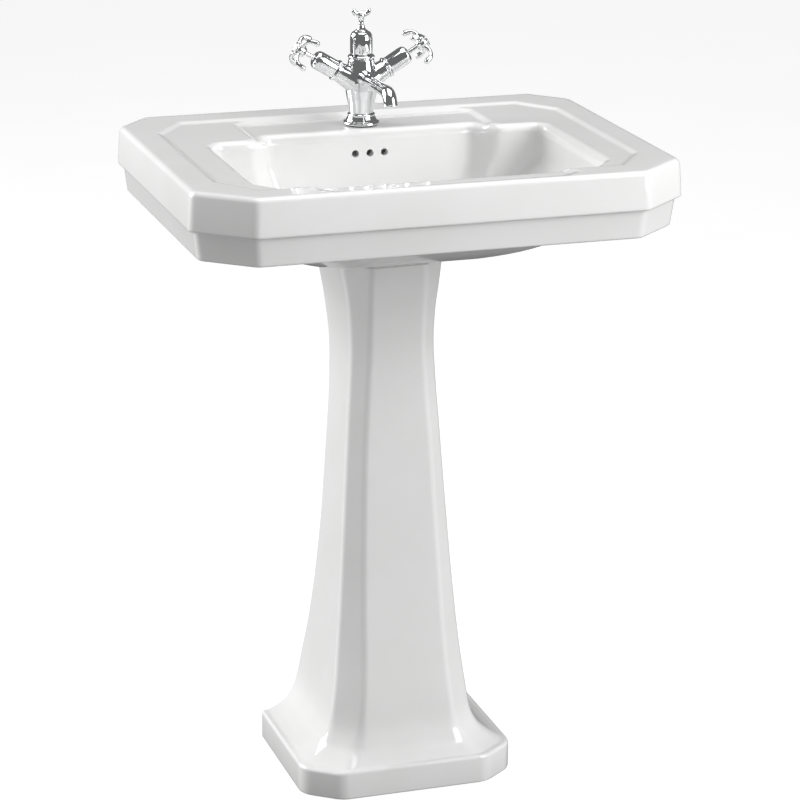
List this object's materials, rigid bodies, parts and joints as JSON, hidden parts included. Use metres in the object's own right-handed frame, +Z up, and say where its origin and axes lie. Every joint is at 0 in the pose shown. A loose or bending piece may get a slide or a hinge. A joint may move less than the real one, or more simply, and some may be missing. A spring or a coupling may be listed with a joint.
{
  "type": "pedestal sink",
  "caption": "Octagonal china pedestal basin with stepped skirt, one-hole mixer tap with claw handles, pop-up waste and bottle trap.",
  "frame": {"origin": "on the floor under the middle of the basin's outline", "axes": "+X to the user's right, +Y towards the wall, +Z up"},
  "size_m": [0.6098, 0.4719, 0.965],
  "materials": {
    "china": "gloss white vitreous glaze",
    "chrome": "polished chrome plate",
    "brass": "plain machined brass",
    "steel": "drawn stainless steel",
    "rubber": "black moulded rubber",
    "plastic": "white moulded acetal",
    "porcelain": "gloss white porcelain",
    "copper": "drawn copper tube"
  },
  "bodies": {
    "root": {"basin": "china", "pedestal": "china", "tap_foot": "chrome", "tap_body": "chrome", "spout": "chrome", "aerator_housing": "chrome", "pillar_bead": "chrome", "pillar_cover": "chrome", "pillar_cap": "chrome", "waste_body": "chrome", "pivot_nut": "chrome", "trap_body": "chrome", "trap_cup": "chrome", "trap_inlet_nut": "chrome", "trap_outlet_nut": "chrome", "trap_outlet_pipe": "chrome", "hot_collar": "chrome", "hot_valve_cover": "chrome", "cold_collar": "chrome", "cold_valve_cover": "chrome", "hot_cartridge": "brass", "cold_cartridge": "brass", "fixing_nut": "brass", "waste_backnut": "brass", "fixing_stud": "steel", "fixing_plate": "steel", "pedestal_seal": "rubber", "tap_base_gasket": "rubber", "fixing_rubber": "rubber", "waste_upper_seal": "rubber", "waste_lower_seal": "rubber", "trap_cup_seal": "rubber", "trap_inlet_seal": "rubber", "trap_outlet_seal": "rubber", "aerator_insert": "plastic", "pivot_seat": "plastic", "hot_tail": "copper", "cold_tail": "copper"},
    "lift": {"lift_knob": "chrome", "lift_rod": "steel", "lift_strap": "steel", "strap_clamp": "brass", "strap_screw": "steel"},
    "pivot": {"pivot_rod": "steel", "rod_clip": "plastic"},
    "plug": {"plug": "chrome", "plug_seal": "rubber"},
    "hot_handle": {"hot_spindle": "steel", "hot_handle": "chrome", "hot_handle_screw": "steel", "hot_index_bezel": "chrome", "hot_index_disc": "porcelain"},
    "cold_handle": {"cold_spindle": "steel", "cold_handle": "chrome", "cold_handle_screw": "steel", "cold_index_bezel": "chrome", "cold_index_disc": "porcelain"}
  },
  "joints": [
    {"name": "knob_lift", "type": "slide", "parent": "root", "child": "lift", "axis": [0, 0, 1], "range_m": [0, 0.02]},
    {"name": "pivot_swing", "type": "hinge", "parent": "root", "child": "pivot", "pos_m": [0, 0.065, 0.634], "axis": [1, 0, 0], "range_deg": [0, 15]},
    {"name": "plug_drop", "type": "slide", "parent": "root", "child": "plug", "axis": [0, 0, 1], "range_m": [-0.007, 0]},
    {"name": "hot_turn", "type": "hinge", "parent": "root", "child": "hot_handle", "pos_m": [-0.07543, 0.14, 0.91432], "axis": [-0.8572, 0, 0.515], "range_deg": [0, 90]},
    {"name": "cold_turn", "type": "hinge", "parent": "root", "child": "cold_handle", "pos_m": [0.07543, 0.14, 0.91432], "axis": [-0.8572, 0, -0.515], "range_deg": [0, 90]}
  ],
  "couplings": [
    {"joint": "pivot_swing", "follows": "knob_lift", "rad_per_m": 12.821},
    {"joint": "plug_drop", "follows": "knob_lift", "ratio": -0.34615}
  ]
}
